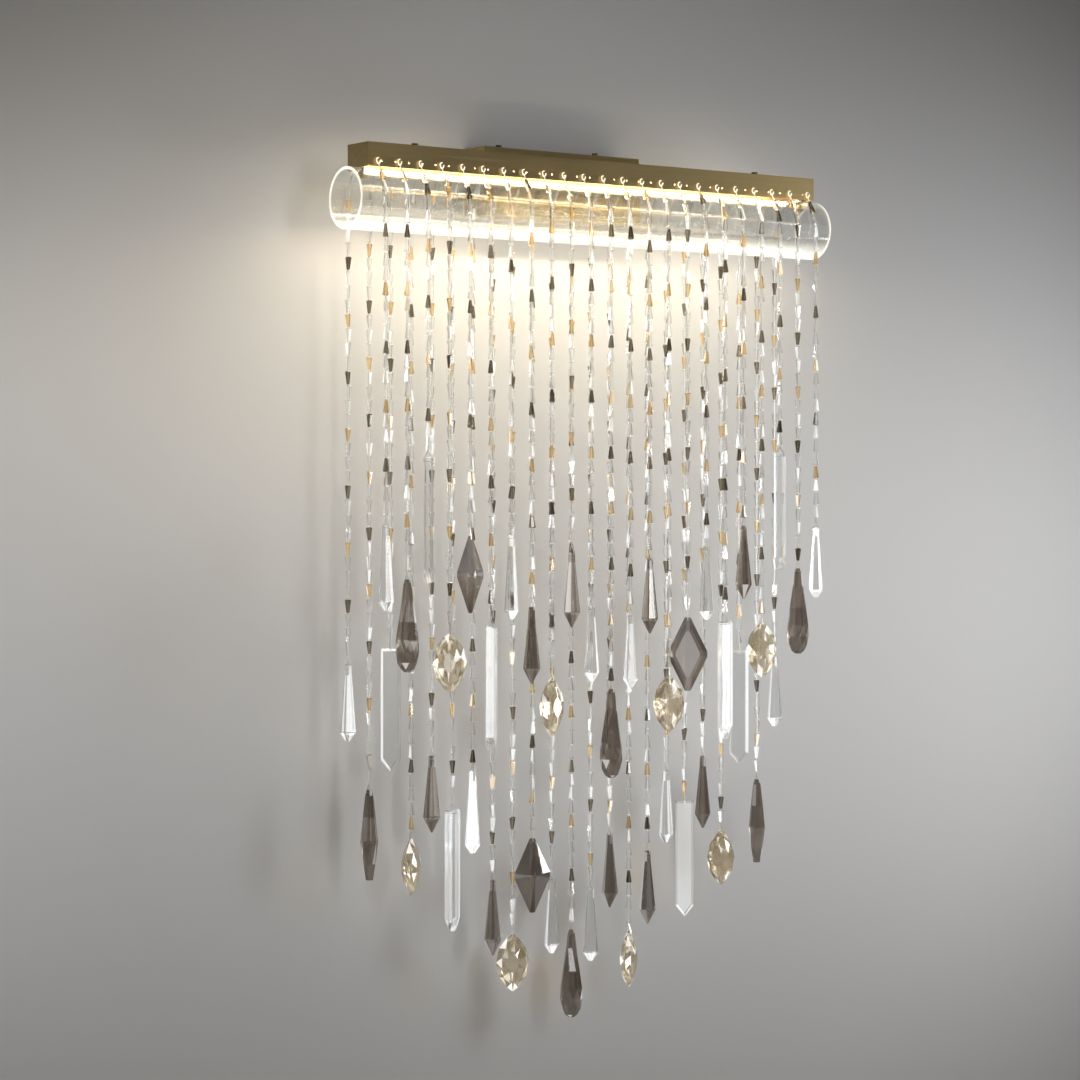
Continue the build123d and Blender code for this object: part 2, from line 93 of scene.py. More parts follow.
class Finish:
    # one material with a Principled shader; node() adds any node, settings first, then values and links
    def __init__(self, name, **sockets):
        self.material = bpy.data.materials.new(name)
        self.material.use_nodes = True
        self.tree = self.material.node_tree
        self.shader = self.tree.nodes["Principled BSDF"]
        self.output = self.tree.nodes["Material Output"]
        self.set(**sockets)

    def set(self, **sockets):
        for socketName, value in sockets.items():
            self.put(self.shader.inputs[socketName.replace("_", " ")], value)
        return self

    def put(self, socket, value):
        # a wire is linked, a colour of three numbers gets its alpha, any other value goes in as it is
        if isinstance(value, Wire):
            self.tree.links.new(value.socket, socket)
        elif hasattr(socket.default_value, "__len__") and len(socket.default_value) == 4 and len(value) == 3:
            socket.default_value = (*value, 1.0)
        else:
            socket.default_value = value

    def node(self, kind, settings=None, values=None, out=0):
        made = self.tree.nodes.new(kind)
        for key, value in (settings or {}).items():
            setattr(made, key, value)
        for key, value in (values or {}).items():
            self.put(made.inputs[key], value)
        return Wire(self, made.outputs[out])

    def place(self, stretch=(1, 1, 1)):
        # position on the object in metres, stretched along its axes
        where = self.node("ShaderNodeTexCoord", out="Object")
        return self.node("ShaderNodeVectorMath", {"operation": "MULTIPLY"}, {0: where, 1: stretch})

    def along(self, axis):
        # position along one axis: X, Y or Z
        return self.node("ShaderNodeSeparateXYZ", {}, {0: self.place()}, out=axis)

    def noise(self, scale, stretch=(1, 1, 1), detail=3.0):
        values = {"Vector": self.place(stretch), "Scale": scale, "Detail": detail}
        return self.node("ShaderNodeTexNoise", {}, values)

    def faceValue(self, name):
        # a number that each face of the mesh carries under this name
        return self.node("ShaderNodeAttribute", {"attribute_name": name}, out="Fac")

    def mix(self, factor, first, second):
        return self.node("ShaderNodeMix", {"data_type": "RGBA"}, {0: factor, 6: first, 7: second}, out=2)

    def bump(self, height, strength, distance):
        values = {"Height": height, "Strength": strength, "Distance": distance}
        return self.node("ShaderNodeBump", {}, values)

    def overlay(self, factor, second):
        # the Principled shader gives way to a second shader by a factor
        first = Wire(self, self.shader.outputs[0])
        mixed = self.node("ShaderNodeMixShader", {}, {0: factor, 1: first, 2: second})
        self.put(self.output.inputs[0], mixed)

    def seeThrough(self, share, tint):
        # a share of the light goes straight on instead of being bent, and lamps shine through wholly
        shadowRay = self.node("ShaderNodeLightPath", out="Is Shadow Ray")
        straight = self.node("ShaderNodeBsdfTransparent", {}, {0: (*tint, 1.0)})
        self.overlay(shadowRay * (1 - share) + share, straight)
        return self


brassLook = {
    "bright": (0.50, 0.39, 0.19),  # rubbed brass
    "dull": (0.27, 0.20, 0.09),  # aged brass in the hollows of the brushing
    "cloudScale": 14.0,
    "brushScale": 260.0,
    "brushRun": (0.02, 1, 1),  # brush lines are 50 times as long as wide
    "cloudAge": 0.7,
    "brushAge": 0.5,
    "youth": 0.1,
    "roughness": 0.34,
    "cloudRough": 0.16,
    "brushRough": 0.18,
    "bump": (0.25, 0.0002),  # strength and depth of the brush lines
}


def brassFinish():
    # age = 0.7 cloud + 0.5 brush lines - 0.1, which darkens the brass; what both have over 0.5 roughens it
    look = brassLook
    f = Finish("agedBrass", Metallic=1.0)
    cloud = f.noise(look["cloudScale"], detail=4.0)
    brush = f.noise(look["brushScale"], look["brushRun"], detail=2.0)
    age = (cloud * look["cloudAge"] + brush * look["brushAge"] - look["youth"]).clamped()
    rough = look["roughness"] + (brush - 0.5) * look["brushRough"] + (cloud - 0.5) * look["cloudRough"]
    f.set(Base_Color=f.mix(age, look["bright"], look["dull"]), Roughness=rough)
    return f.set(Normal=f.bump(brush, *look["bump"]))


glassKinds = {
    # colour, the tinge it drifts to, the painted shade tone of some facets, index of refraction, share of
    # clear body, share seen straight through
    "clearCrystal": ((0.99, 0.99, 0.99), (0.96, 0.97, 0.97), (0.80, 0.82, 0.83), 1.50, 1.0, 0.35),
    "smokeCrystal": ((0.29, 0.245, 0.205), (0.43, 0.38, 0.33), (0.055, 0.04, 0.03), 1.60, 0.89, 0.2),
    "champagneCrystal": ((0.85, 0.74, 0.54), (0.95, 0.88, 0.74), (0.46, 0.34, 0.17), 1.56, 0.96, 0.05),
    "clearBead": ((1.0, 1.0, 1.0), (0.98, 0.99, 0.99), (0.90, 0.91, 0.92), 1.42, 1.0, 0.35),
    "smokeBead": ((0.24, 0.205, 0.15), (0.44, 0.39, 0.31), (0.02, 0.015, 0.01), 1.50, 0.88, 0.1),
    "goldBead": ((0.90, 0.70, 0.42), (0.96, 0.83, 0.60), (0.62, 0.42, 0.20), 1.48, 0.92, 0.1),
}

crystalLook = {
    "paintedGlint": (0.97, 0.985, 1.0),  # painted glint: colour given as emission to picked facets
    "paintedGlintStrength": 0.95,
    "driftScale": 35.0,
    "driftRange": (0.3, 0.7),
    "wipeScale": 420.0,
    "wipeRun": (1, 1, 0.35),
    "wipeRange": (0.45, 0.8),
    "wipeRough": 0.05,
    "throughTint": 0.85,  # how much of its tinge the glass gives to light that goes straight through
}


def crystalFinish(name):
    # cut lead glass: the tint drifts a little through the stone, each facet is mixed towards a darker tone by
    # its own painted shade value, the polish has faint wipe marks; emission = the facet's painted glint
    # value, mostly 0
    look = crystalLook
    colour, tinge, paintedShadeTone, ior, clear, straight = glassKinds[name]
    f = Finish(name, Transmission_Weight=clear, IOR=ior)
    drift = f.noise(look["driftScale"], detail=2.0)
    wipe = f.noise(look["wipeScale"], look["wipeRun"])
    body = f.mix(drift.ramp(*look["driftRange"]), colour, tinge)
    # painted highlights: glints and glowing feet on picked facets, given as emission
    paintedGlint = f.mix(f.faceValue("paintedGlint"), black, look["paintedGlint"])
    # painted shade: facets darkened at random, standing for the changing tones that refraction gives
    f.set(Base_Color=f.mix(f.faceValue("paintedShade"), body, paintedShadeTone))
    f.set(Roughness=wipe.ramp(*look["wipeRange"]) * look["wipeRough"])
    f.set(Emission_Color=paintedGlint, Emission_Strength=look["paintedGlintStrength"])
    return f.seeThrough(straight, tuple(1 - look["throughTint"] * (1 - c) for c in tinge))


tubeLook = {
    "colour": (0.985, 0.995, 0.99),
    "ior": 1.47,
    "halfLength": 0.315,
    "endBand": 0.0002,  # the last 0.2 mm of the length count as the cut end
    "paintedGlow": (1.0, 0.95, 0.84),  # painted glow, given as emission, for light led along the glass out through its cut ends
    "paintedGlowStrength": 0.9,
    "floorFrom": -0.050,  # painted glow of the strip's light in the tube's lower part, from this height
    "floorTo": -0.063,
    "floorShare": 0.42,
    "leastGlow": 0.55,  # painted glow of the lower part where there is no smear, and how much a smear adds
    "smearGlow": 0.9,
    "smearScale": 9.0,
    "smearRange": (0.5, 0.75),
    "smearRough": 0.035,
    "roughness": 0.004,
    "drawnScale": 60.0,
    "drawnRun": (0.02, 1, 1),  # faint draw lines along the tube
    "bump": (0.12, 0.0002),
    "straight": 0.25,
    "straightTint": (0.96, 0.97, 0.96),
}


def tubeGlassFinish():
    # painted glow, given as emission: end = 1 where |x| is past the half length less the end band, else 0;
    # floor rises from 0 to 1 between two heights; glow = end + floor times its share, broken up by the smears
    look = tubeLook
    f = Finish("tubeGlass", Transmission_Weight=1.0, IOR=look["ior"], Base_Color=look["colour"])
    drawn = f.noise(look["drawnScale"], look["drawnRun"], detail=2.0)
    smear = f.noise(look["smearScale"], detail=4.0)
    end = abs(f.along("X")) > look["halfLength"] - look["endBand"]
    floor = f.along("Z").ramp(look["floorFrom"], look["floorTo"])
    paintedLowGlow = floor * look["floorShare"] * (look["leastGlow"] + smear * look["smearGlow"])
    paintedGlow = (end + paintedLowGlow).clamped()
    f.set(Roughness=smear.ramp(*look["smearRange"]) * look["smearRough"] + look["roughness"])
    # painted glow: the glass glows by emission, though it is no lamp
    f.set(Emission_Color=f.mix(paintedGlow, black, look["paintedGlow"]), Emission_Strength=look["paintedGlowStrength"])
    f.set(Normal=f.bump(drawn, *look["bump"]))
    return f.seeThrough(look["straight"], look["straightTint"])


wireLook = {
    "bright": (0.90, 0.89, 0.86),
    "worn": (0.74, 0.71, 0.66),
    "markScale": 900.0,
    "roughness": 0.22,
    "markRough": 0.14,
    "paintedLitAbove": -0.004,  # from here up, the hook loops get a painted glow for the light of the channel
    "paintedLitRange": (0.1, 0.4),  # marks below the first take all of the painted glow away
    # colour of the painted glow, given as emission
    "lit": (1.0, 0.88, 0.66),
    "paintedLitStrength": 1.5,
}


def wireFinish():
    # painted glow on the hook loops: lit = 1 above the channel's mouth, else 0, and broken up by the marks
    look = wireLook
    f = Finish("polishedWire", Metallic=1.0)
    marks = f.noise(look["markScale"], detail=2.0)
    lit = (f.along("Z") > look["paintedLitAbove"]) * marks.ramp(*look["paintedLitRange"])
    f.set(Base_Color=f.mix(marks, look["bright"], look["worn"]))
    f.set(Roughness=look["roughness"] + marks * look["markRough"])
    # the painted glow goes in as emission
    return f.set(Emission_Color=f.mix(lit, black, look["lit"]), Emission_Strength=look["paintedLitStrength"])


steelLook = {
    "dark": (0.60, 0.61, 0.62),
    "pale": (0.72, 0.73, 0.74),
    "spangleScale": 130.0,
    "cloudScale": 30.0,
    "roughness": 0.34,
    "cloudRough": 0.2,
}


def steelFinish():
    # zinc spangle: each cell of a Voronoi pattern has its own grey, and clouds roughen it
    look = steelLook
    f = Finish("platedSteel", Metallic=1.0)
    values = {"Vector": f.place(), "Scale": look["spangleScale"]}
    spangle = f.node("ShaderNodeTexVoronoi", {}, values, out="Color")
    grey = f.node("ShaderNodeSeparateColor", {}, {0: spangle})
    cloud = f.noise(look["cloudScale"], detail=4.0)
    f.set(Base_Color=f.mix(grey, look["dark"], look["pale"]))
    return f.set(Roughness=look["roughness"] + cloud * look["cloudRough"])


screwLook = {
    "bronze": (0.10, 0.075, 0.045),
    "worn": (0.30, 0.22, 0.12),
    "wornScale": 700.0,
    "wornRange": (0.5, 0.75),
    "roughness": 0.38,
    "wornRough": 0.2,
}


def darkScrewFinish():
    # bronzed screw, rubbed through where the noise is high
    look = screwLook
    f = Finish("darkScrew", Metallic=0.9)
    worn = f.noise(look["wornScale"])
    f.set(Base_Color=f.mix(worn.ramp(*look["wornRange"]), look["bronze"], look["worn"]))
    return f.set(Roughness=look["roughness"] + worn * look["wornRough"])


aluminiumLook = {
    "pale": (0.80, 0.81, 0.82),
    "grey": (0.68, 0.69, 0.71),
    "drawnScale": 300.0,
    "drawnRun": (0.01, 1, 1),  # draw lines are 100 times as long as wide
    "roughness": 0.3,
    "drawnRough": 0.15,
}


def aluminiumFinish():
    # the draw lines mix two greys and roughen the metal
    look = aluminiumLook
    f = Finish("extrudedAluminium", Metallic=1.0)
    drawn = f.noise(look["drawnScale"], look["drawnRun"], detail=2.0)
    f.set(Base_Color=f.mix(drawn, look["pale"], look["grey"]))
    return f.set(Roughness=look["roughness"] + drawn * look["drawnRough"])


driverLook = {
    "pale": (0.82, 0.82, 0.79),
    "aged": (0.76, 0.76, 0.73),
    "toneScale": 20.0,
    "grainScale": 1800.0,
    "roughness": 0.5,
    "grainRough": 0.12,
    "bump": (0.3, 0.0001),
}


def driverFinish():
    # moulded plastic: a slow change of tone, and a fine grain that roughens and dents it
    look = driverLook
    f = Finish("driverCase")
    grain = f.noise(look["grainScale"], detail=2.0)
    tone = f.noise(look["toneScale"])
    f.set(Base_Color=f.mix(tone, look["pale"], look["aged"]))
    f.set(Roughness=look["roughness"] + grain * look["grainRough"])
    return f.set(Normal=f.bump(grain, *look["bump"]))


washerLook = {
    "milky": (0.78, 0.77, 0.73),
    "dusty": (0.66, 0.65, 0.61),
    "cloudScale": 400.0,
    "roughness": 0.45,
    "cloudRough": 0.1,
    "inside": 0.3,  # share of the light that spreads inside the rubber
}


def washerFinish():
    # soft rubber with clouds of dust
    look = washerLook
    f = Finish("siliconeWasher", Subsurface_Weight=look["inside"])
    cloud = f.noise(look["cloudScale"], detail=2.0)
    f.set(Base_Color=f.mix(cloud, look["milky"], look["dusty"]))
    return f.set(Roughness=look["roughness"] + cloud * look["cloudRough"])


lightLook = {
    "warm": (1.0, 0.80, 0.54),
    "strength": 40.0,
    "source": (0.95, 0.78, 0.42),
    "board": (0.90, 0.90, 0.87),
    "speck": (0.80, 0.80, 0.77),
    "speckScale": 900.0,
    "roughness": 0.35,
    "speckRough": 0.1,
    "boardUnder": 0.0165,  # height of the board's lower face, where the light sources start
    "below": 0.0001,
}


def lightBoardFinish():
    # lit = 1 below the board's lower face, where the light sources are, else 0
    look = lightLook
    f = Finish("lightBoard")
    lit = f.along("Z") < look["boardUnder"] - look["below"]
    speck = f.noise(look["speckScale"], detail=1.0)
    board = f.mix(speck, look["board"], look["speck"])
    f.set(Base_Color=f.mix(lit, board, look["source"]))
    f.set(Roughness=look["roughness"] + speck * look["speckRough"])
    return f.set(Emission_Color=f.mix(lit, black, look["warm"]), Emission_Strength=look["strength"])


brass = brassFinish().material
glass = {name: crystalFinish(name).material for name in glassKinds}
wireMetal = wireFinish().material
print("finishes made")

nodeFinish = {
    "wall_bracket": steelFinish().material,
    "canopy": brass,
    "canopy_screws": darkScrewFinish().material,
    "led_driver": driverFinish().material,
    "support_arms": brass,
    "frame_screws": aluminiumFinish().material,
    "rail": brass,
    "hook_pins": brass,
    "led_carrier": aluminiumFinish().material,
    "led_strip": lightBoardFinish().material,
    "carrier_screws": darkScrewFinish().material,
    "glass_tube": tubeGlassFinish().material,
    "tube_knobs": brass,
    "tube_washers": washerFinish().material,
}
for nodeName, material in nodeFinish.items():
    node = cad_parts[nodeName]
    node.data.materials.clear()
    node.data.materials.append(material)


def addMesh(name, points, faceSets, material, faceValues=None):
    # points is (n, 3); each face set is (k, corners) of point numbers; face values are one number for a face
    mesh = bpy.data.meshes.new(name)
    corners = np.concatenate([faces.ravel() for faces in faceSets]).astype(np.int32)
    sizes = np.concatenate([np.full(len(faces), faces.shape[1]) for faces in faceSets]).astype(np.int32)
    starts = np.concatenate([[0], np.cumsum(sizes)[:-1]]).astype(np.int32)
    mesh.vertices.add(len(points))
    mesh.vertices.foreach_set("co", np.ascontiguousarray(points, dtype=np.float32).ravel())
    mesh.loops.add(len(corners))
    mesh.loops.foreach_set("vertex_index", corners)
    mesh.polygons.add(len(sizes))
    mesh.polygons.foreach_set("loop_start", starts)
    mesh.polygons.foreach_set("loop_total", sizes)
    mesh.update(calc_edges=True)
    mesh.validate()
    mesh.shade_flat()
    for valueName, values in (faceValues or {}).items():
        attribute = mesh.attributes.new(valueName, "FLOAT", "FACE")
        attribute.data.foreach_set("value", np.asarray(values, dtype=np.float32))
    mesh.materials.append(material)
    made = bpy.data.objects.new(name, mesh)
    bpy.context.scene.collection.objects.link(made)
    return made


def joined(parts):
    # several (points, face sets) become one, with each part's point numbers moved on
    points = []
    faceSets = []
    start = 0
    for partPoints, partFaces in parts:
        points.append(partPoints)
        faceSets += [faces + start for faces in partFaces]
        start += len(partPoints)
    return np.concatenate(points), faceSets


def repeated(faceSets, count, pointsEach):
    # the faces of one small shape for each of its copies, with the point numbers moved on
    shift = (np.arange(count) * pointsEach)[:, None, None]
    return [(faces[None] + shift).reshape(-1, faces.shape[1]) for faces in faceSets]


def unit(vectors):
    return vectors / np.linalg.norm(vectors, axis=1)[:, None]


def evenAngles(count):
    return np.arange(count) * 2 * pi / count


def circleRound(first, second, angle):
    # cosine times the first direction plus sine times the second, for every place and every angle
    return np.cos(angle)[..., None] * first[:, None] + np.sin(angle)[..., None] * second[:, None]


def ringFaces(rings, around, closed=True):
    # quads between neighbouring rings of points, and an end cap on the first and last ring
    k = np.arange(around)
    step = np.arange(rings - 1)[:, None] * around
    low = step + k
    lowNext = step + (k + 1) % around
    quads = np.stack([low, low + around, lowNext + around, lowNext], -1).reshape(-1, 4)
    if not closed:
        return [quads]
    return [quads, k[None, :], ((rings - 1) * around + k[::-1])[None, :]]


def tubeAlong(path, radius, around=6, closed=False):
    # round section carried along a path: point = path + radius times (cosine times side + sine times up),
    # with side and up across the mean direction at that point; the guide only picks where the angle starts
    path = np.asarray(path, dtype=float)
    ahead = unit(np.roll(path, -1, 0) - np.roll(path, 1, 0) if closed else np.gradient(path, axis=0))
    guide = np.where(np.abs(ahead[:, :1]) < 0.9, [[1.0, 0, 0]], [[0, 1.0, 0]])
    side = unit(np.cross(ahead, guide))
    up = np.cross(side, ahead)
    points = (path[:, None] + radius * circleRound(side, up, evenAngles(around)[None])).reshape(-1, 3)
    if not closed:
        return points, ringFaces(len(path), around)
    faces = ringFaces(len(path) + 1, around, closed=False)
    return points, [faces[0] % len(points)]


strandLook = {
    "hookPitch": 0.02628,
    "hookCount": 23,
    "pinHeight": 0.004,
    "pinRadius": 0.0008,
    "ringPlay": 0.00015,  # the ring hangs this far off the pin
    "tubeCentre": (-0.092, -0.0355),  # y and z
    "beadLine": 0.0365,  # how far the beads' centre line stays from the tube's centre
    "ringOut": 0.0224,  # the ring's distance from the tube's centre plane, along y
    "ringRadius": 0.0023,
    "ringPoints": 20,
    "loopLonger": 0.5,  # the ring's lower half is drawn out by this share
    "wireRadius": 0.0005,
    "neck": 0.006,
    "neckStart": 0.0002,
    "neckRadius": 0.00035,
    "threadRadius": 0.00022,
    "wrapRadius": 0.00095,
    "wrapWire": 0.00026,
    "pitch": 0.015,
    "sway": 0.00045,  # how far the joints between beads stand off the straight line
    "bail": 0.008,
}

# left to right: hang below the pins in mm, stone, turn about the vertical, beads widen downwards,
# and which bead of eight is smoke coloured
frontRow = [
    (377, "longDrop", 0, True, 4), (434, "teardrop", 0, True, 4), (308, "bar", 56, True, 1),
    (490, "oval", -34, False, 5), (389, "peakedRhomb", 16, True, 1), (484, "bar", 42, True, 5),
    (388, "longDrop", 0, True, 6), (464, "smokeDrop", 0, True, 0), (540, "oval", 11, True, 7),
    (405, "smokeDrop", 0, False, 6), (464, "drop", 0, True, 7), (554, "teardrop", 0, True, 3),
    (472, "drop", 0, True, 3), (413, "smokeDrop", 0, True, 4), (541, "oval", -18, True, 3),
    (478, "rhomb", -38, False, 3), (400, "drop", 0, True, 0), (483, "bar", 22, True, 5),
    (377, "smokeDrop", 0, True, 7), (484, "oval", -18, True, 2), (296, "bar", 37, True, 1),
    (425, "teardrop", 0, False, 2), (377, "drop", 0, True, 0),
]
rearRow = [
    (523, "drop", 0, False, 6), (656, "spindle", 0, False, 1), (508, "bar", 27, False, 5),
    (709, "oval", -33, True, 1), (623, "smokeDrop", 0, False, 5), (682, "bar", -26, False, 1),
    (641, "longDrop", 0, True, 1), (760, "smokeDrop", 0, False, 7), (820, "oval", 30, False, 6),
    (718, "peakedRhomb", 9, True, 0), (764, "drop", 0, False, 7), (821, "teardrop", 0, True, 2),
    (776, "drop", 0, False, 5), (718, "smokeDrop", 0, False, 1), (828, "oval", -37, True, 2),
    (740, "smokeDrop", 0, True, 6), (651, "drop", 0, False, 3), (687, "bar", 33, False, 0),
    (637, "smokeDrop", 0, False, 6), (722, "oval", 7, False, 5), (519, "bar", 26, True, 3),
    (667, "spindle", 0, False, 4), (526, "drop", 0, False, 6),
]


def bendOf():
    # the ring's foot, out and up from the tube's centre; the straight run from there to where the strand
    # touches the circle round the tube; and the arc left from that point down to the tube's side
    look = strandLook
    out = look["ringOut"]
    ringTop = look["pinHeight"] + look["pinRadius"] + look["ringPlay"]
    up = ringTop - 2 * look["ringRadius"] - look["tubeCentre"][1]
    run = (hypot(out, up) ** 2 - look["beadLine"] ** 2) ** 0.5
    arc = atan2(up, out) - acos(look["beadLine"] / hypot(out, up))
    return out, up, run, arc


def pathPoints(distance):
    # side view of a strand, out and up from the tube's centre, at distances along it: a straight run, then
    # the bead line times the cosine and sine of an angle that falls to 0, then straight down
    out, up, run, arc = bendOf()
    line = strandLook["beadLine"]
    distance = np.asarray(distance, dtype=float)
    share = np.clip(distance / run, 0, 1)
    straightOut = out + (line * cos(arc) - out) * share
    straightUp = up + (line * sin(arc) - up) * share
    angle = np.clip(arc - (distance - run) / line, 0, arc)
    below = np.maximum(distance - run - line * arc, 0)
    bentOut = line * np.cos(angle)
    bentUp = line * np.sin(angle) - below
    inRun = distance < run
    return np.where(inRun, straightOut, bentOut), np.where(inRun, straightUp, bentUp)


beadLook = {
    "sides": 6,
    "wide": 0.0034,
    "narrow": 0.0017,
    "tipShare": 0.72,  # each end is bevelled to this share of its radius
    "ringsAt": (0.035, 0.075, 0.90, 0.965),  # shares of the pitch, from the narrow end
    # strength of the painted glint on picked bead facets, given as emission
    "paintedGlint": 0.8,
}


def beadCloud(starts, ends, widens, spin):
    # tapered beads with flat sides: point = start + share times the bead's line + radius times (cosine times
    # sideways + sine times across), the angle being even and turned by the bead's own spin
    look = beadLook
    sides = look["sides"]
    wide, narrow, tip = look["wide"], look["narrow"], look["tipShare"]
    share = np.array(look["ringsAt"])
    radius = np.array([narrow * tip, narrow, wide, wide * tip])
    if not widens:
        share, radius = 1 - share[::-1], radius[::-1]
    along = ends - starts
    direction = unit(along)
    sideways = unit(np.cross(direction, [[1.0, 0, 0]]))
    across = np.cross(sideways, direction)
    ring = circleRound(sideways, across, evenAngles(sides) + spin[:, None])
    centre = starts[:, None] + along[:, None] * share[None, :, None]
    points = centre[:, :, None] + ring[:, None] * radius[None, :, None, None]
    rings = len(share)
    return points.reshape(-1, 3), repeated(ringFaces(rings, sides), len(starts), rings * sides)


def wrapCloud(places, directions, around=8, section=4):
    # small wire rings, one round each joint: point = joint + (wrap radius + wire times cos b) times the
    # radial direction at angle a + wire times sin b times the strand's direction
    major, minor = strandLook["wrapRadius"], strandLook["wrapWire"]
    side = unit(np.cross(directions, [[1.0, 0, 0]]))
    across = np.cross(side, directions)
    radial = circleRound(across, side, evenAngles(around)[None])
    reach = major + minor * np.cos(evenAngles(section))
    lift = minor * np.sin(evenAngles(section))
    points = places[:, None, None] + radial[:, :, None] * reach[None, None, :, None]
    points = points + directions[:, None, None] * lift[None, None, :, None]
    k = np.arange(around)[:, None]
    kNext = (k + 1) % around
    j = np.arange(section)[None, :]
    jNext = (j + 1) % section
    corners = [k * section + j, kNext * section + j, kNext * section + jNext, k * section + jNext]
    quads = np.stack(corners, -1).reshape(-1, 4)
    return points.reshape(-1, 3), repeated([quads], len(places), around * section)


def turned(points, turn):
    # about the vertical, in degrees
    c, s = cos(radians(turn)), sin(radians(turn))
    x, y, z = points.T
    return np.stack([x * c - y * s, x * s + y * c, z], -1)


def bands(rings, around, staggered=()):
    # faces between stacked rings: quads, or triangles where one of the two rings is staggered by half a facet
    k = np.arange(around)
    kNext = (k + 1) % around
    quads = []
    triangles = []
    for number in range(rings - 1):
        a, b = number * around, (number + 1) * around
        above, below = number in staggered, number + 1 in staggered
        if above == below:
            quads.append(np.stack([a + k, b + k, b + kNext, a + kNext], -1))
        elif below:
            triangles.append(np.stack([a + k, b + k, a + kNext], -1))
            triangles.append(np.stack([b + k, b + kNext, a + kNext], -1))
        else:
            triangles.append(np.stack([a + k, b + k, b + kNext], -1))
            triangles.append(np.stack([a + k, b + kNext, a + kNext], -1))
    caps = [k[None, :], ((rings - 1) * around + k[::-1])[None, :]]
    return [np.concatenate(s) for s in (quads, triangles) if s] + caps


def dropProfile(length):
    return [(0, 2.6), (1.6, 3.7), (12, 3.9), (length - 9, 8.2), (length, 2.2)]


roundStones = {
    # rings of (depth, radius) in mm from the top down, and which of them are staggered by half a facet
    "drop": (dropProfile(81), ()),
    "longDrop": (dropProfile(89), ()),
    "smokeDrop": ([(0, 2.4), (1.5, 3.4), (12, 3.8), (65.6, 9.2), (82, 0.9)], ()),
    "teardrop": ([(0, 2.4), (5, 4.2), (20, 5.9), (45, 9.5), (64, 12.2), (76, 12.3), (86, 10.6), (93, 7.2),
                  (96, 3.4)], (3, 4, 6, 8)),
    "spindle": ([(0, 2.8), (6, 4.3), (30, 7.0), (55, 9.4), (78, 6.8), (95, 4.0)], (4, 5)),
}


def cutRound(kind, sides=8):
    # x and y = radius times the cosine and sine of even angles, z = minus the depth
    profile, staggered = roundStones[kind]
    rings = []
    for number, (depth, radius) in enumerate(profile):
        angle = evenAngles(sides) + (number in staggered) * pi / sides
        rings.append(np.stack([radius * np.cos(angle), radius * np.sin(angle), np.full(sides, -depth)], -1))
    return np.concatenate(rings) / 1000, bands(len(profile), sides, staggered)


def cutFlat(outlines, staggered=()):
    # rings of (x, z) corners at places y in mm, front to back, each going down the left side and up the right
    around = len(outlines[0][1])
    rings = [np.stack([ring[:, 0], np.full(around, y), ring[:, 1]], -1) for y, ring in outlines]
    return np.concatenate(rings) / 1000, bands(len(outlines), around, staggered)


def bothSides(front):
    # rings of (place y, share of the full outline, turn) from the front table to the girdle, and back again
    return front + [(-y, share, turn) for y, share, turn in reversed(front)]


ovalLook = {
    "halfWidth": 18.0,
    "halfLength": 31.25,
    "corners": 12,
    "front": [(-8.5, 0.34, 0.0), (-6.0, 0.70, 0.5), (-0.6, 1.0, 0.0)],  # table, half-turned facets, girdle
}


def ovalStone():
    # pointed oval from two arcs of radius r, shrunk about its middle: height = cosine of t times the half
    # length, width = the arc at that height
    look = ovalLook
    halfWidth, halfLength, corners = look["halfWidth"], look["halfLength"], look["corners"]
    r = (halfLength**2 + halfWidth**2) / (2 * halfWidth)
    outlines = []
    for y, share, turn in bothSides(look["front"]):
        t = (np.arange(corners) + turn) * 2 * pi / corners
        height = np.cos(t) * halfLength
        width = np.sqrt(r**2 - height**2) - r + halfWidth
        ring = np.stack([np.where(np.sin(t) > 0, -width, width), height], -1)
        outlines.append((y, ring * share - [0, halfLength]))
    return cutFlat(outlines, staggered=(1, 4))


rhombLook = {
    "halfWidth": 21.5,
    "halfLength": 40.5,
    "clip": 3.0,  # its four points are cut back by this much
    "halfThick": 6.5,
    "halfGirdle": 0.05,
    "broadTable": 0.62,  # share of the outline that the table has
    "peakTable": 0.1,
}


def rhombStone(table):
    # the rhombus at the girdle, shrunk about its middle to the table on each side
    look = rhombLook
    half, long, clip = look["halfWidth"], look["halfLength"], look["clip"]
    left = [(-clip, long), (-half, clip), (-half, -clip), (-clip, -long)]
    outline = np.array(left + [(-x, z) for x, z in reversed(left)])
    front = [(-look["halfThick"], table, 0.0), (-look["halfGirdle"], 1.0, 0.0)]
    return cutFlat([(y, outline * share - [0, long]) for y, share, turn in bothSides(front)])


barLook = {
    "halfWidth": 10.5,
    "shoulder": -117.0,
    "point": -130.0,
    "halfThick": 5.0,
    "bevel": 2.4,
    "shoulderUp": 0.4,  # the bevel draws the shoulders up by this share of itself, and the point by the next
    "pointUp": 1.3,
}


def barOutline(inset):
    # flat bar with a pointed foot: every edge is drawn in by the inset
    look = barLook
    half = look["halfWidth"] - inset
    shoulder = look["shoulder"] + inset * look["shoulderUp"]
    point = look["point"] + inset * look["pointUp"]
    return np.array([(-half, -inset), (-half, shoulder), (0, point), (half, shoulder), (half, -inset)])


def barStone():
    thick, bevel = barLook["halfThick"], barLook["bevel"]
    edge = thick - bevel
    layers = [(-thick, bevel), (-edge, 0.0), (edge, 0.0), (thick, bevel)]
    return cutFlat([(y, barOutline(inset)) for y, inset in layers])


